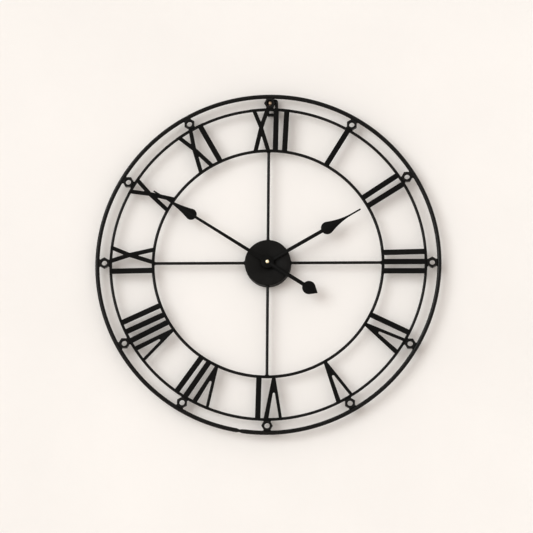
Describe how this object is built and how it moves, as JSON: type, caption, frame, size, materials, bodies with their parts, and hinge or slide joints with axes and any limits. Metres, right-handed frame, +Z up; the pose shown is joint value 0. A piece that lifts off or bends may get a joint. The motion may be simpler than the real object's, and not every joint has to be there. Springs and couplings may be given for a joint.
{
  "type": "wall clock",
  "caption": "Round skeleton wall clock: welded rod rings, cut-out roman numerals, hexagon nuts as hour marks, spade hands and a quartz movement in a central hub pan.",
  "frame": {"origin": "hang point: on the wall plane, where the wall screw comes out of the wall under the top bar of the hanger loop", "axes": "+X to the right seen from the front, +Z up, and the dial faces -Y, so +Y points into the wall"},
  "size_m": [0.6, 0.0306, 0.6],
  "materials": {
    "black_iron": "satin black paint on iron",
    "steel": "bare steel",
    "brass": "turned brass",
    "copper": "enamelled copper wire",
    "black_plastic": "fine-grained moulding",
    "white_plastic": "acetal moulding",
    "rubber": "matt",
    "circuit_green": "solder mask",
    "ferrite": "sintered, dark grey",
    "battery_jacket": "plain printed sleeve"
  },
  "bodies": {
    "clock_frame": {"outer_ring": "black_iron", "middle_ring": "black_iron", "inner_ring": "black_iron", "hex_nut_1": "black_iron", "hex_nut_2": "black_iron", "hex_nut_3": "black_iron", "hex_nut_4": "black_iron", "hex_nut_5": "black_iron", "hex_nut_6": "black_iron", "hex_nut_7": "black_iron", "hex_nut_8": "black_iron", "hex_nut_9": "black_iron", "hex_nut_10": "black_iron", "hex_nut_11": "black_iron", "hex_nut_12": "black_iron", "numeral_1": "black_iron", "numeral_2": "black_iron", "numeral_3": "black_iron", "numeral_4": "black_iron", "numeral_5": "black_iron", "numeral_6": "black_iron", "numeral_7": "black_iron", "numeral_8": "black_iron", "numeral_9": "black_iron", "numeral_10": "black_iron", "numeral_11": "black_iron", "numeral_12": "black_iron", "spoke_top": "black_iron", "spoke_right": "black_iron", "spoke_bottom": "black_iron", "spoke_left": "black_iron", "hub_pan": "black_iron", "hanger_loop": "black_iron", "movement_front_case": "black_plastic", "movement_back_case": "black_plastic", "train_plate": "white_plastic", "threaded_bush": "brass", "dial_washer": "brass", "bush_locknut": "brass", "battery_contact_positive": "brass", "battery_contact_negative": "brass", "rubber_washer": "rubber", "circuit_board": "circuit_green", "driver_chip": "ferrite", "quartz_crystal": "steel", "stator": "steel", "coil": "copper"},
    "minute_train": {"centre_wheel": "brass", "minute_hand": "black_iron", "hand_nut": "brass"},
    "hour_train": {"hour_wheel": "white_plastic", "hour_hand": "black_iron"},
    "motion_gear": {"motion_wheel": "white_plastic"},
    "knob": {"setting_knob": "black_plastic"},
    "third_gear": {"third_wheel": "white_plastic"},
    "seconds_gear": {"seconds_wheel": "white_plastic"},
    "step_gear": {"step_wheel": "white_plastic"},
    "rotor": {"rotor_pinion": "white_plastic", "rotor_magnet": "ferrite"},
    "battery_cell": {"battery": "battery_jacket"}
  },
  "joints": [
    {"name": "minute_spin", "type": "hinge", "parent": "clock_frame", "child": "minute_train", "pos_m": [-0.0023, 0, -0.28775], "axis": [0, 1, 0], "continuous": true},
    {"name": "hour_spin", "type": "hinge", "parent": "clock_frame", "child": "hour_train", "pos_m": [-0.0023, 0, -0.28775], "axis": [0, 1, 0], "continuous": true},
    {"name": "motion_spin", "type": "hinge", "parent": "clock_frame", "child": "motion_gear", "pos_m": [0.00154, 0, -0.2811], "axis": [0, 1, 0], "continuous": true},
    {"name": "knob_spin", "type": "hinge", "parent": "clock_frame", "child": "knob", "pos_m": [0.00021, 0, -0.27354], "axis": [0, 1, 0], "continuous": true},
    {"name": "third_spin", "type": "hinge", "parent": "clock_frame", "child": "third_gear", "pos_m": [-0.00975, 0, -0.2815], "axis": [0, 1, 0], "continuous": true},
    {"name": "seconds_spin", "type": "hinge", "parent": "clock_frame", "child": "seconds_gear", "pos_m": [-0.0023, 0, -0.28775], "axis": [0, 1, 0], "continuous": true},
    {"name": "step_spin", "type": "hinge", "parent": "clock_frame", "child": "step_gear", "pos_m": [0.00331, 0, -0.28451], "axis": [0, 1, 0], "continuous": true},
    {"name": "rotor_spin", "type": "hinge", "parent": "clock_frame", "child": "rotor", "pos_m": [0.00857, 0, -0.28259], "axis": [0, 1, 0], "continuous": true},
    {"name": "battery_slide", "type": "slide", "parent": "clock_frame", "child": "battery_cell", "axis": [0, 1, 0], "range_m": [0, 0.016]}
  ],
  "couplings": [
    {"joint": "hour_spin", "follows": "minute_spin", "ratio": 0.083333},
    {"joint": "motion_spin", "follows": "minute_spin", "ratio": -0.33333},
    {"joint": "knob_spin", "follows": "minute_spin", "ratio": 1},
    {"joint": "third_spin", "follows": "minute_spin", "ratio": -8},
    {"joint": "seconds_spin", "follows": "minute_spin", "ratio": 60},
    {"joint": "step_spin", "follows": "minute_spin", "ratio": -300},
    {"joint": "rotor_spin", "follows": "minute_spin", "ratio": 1800}
  ]
}
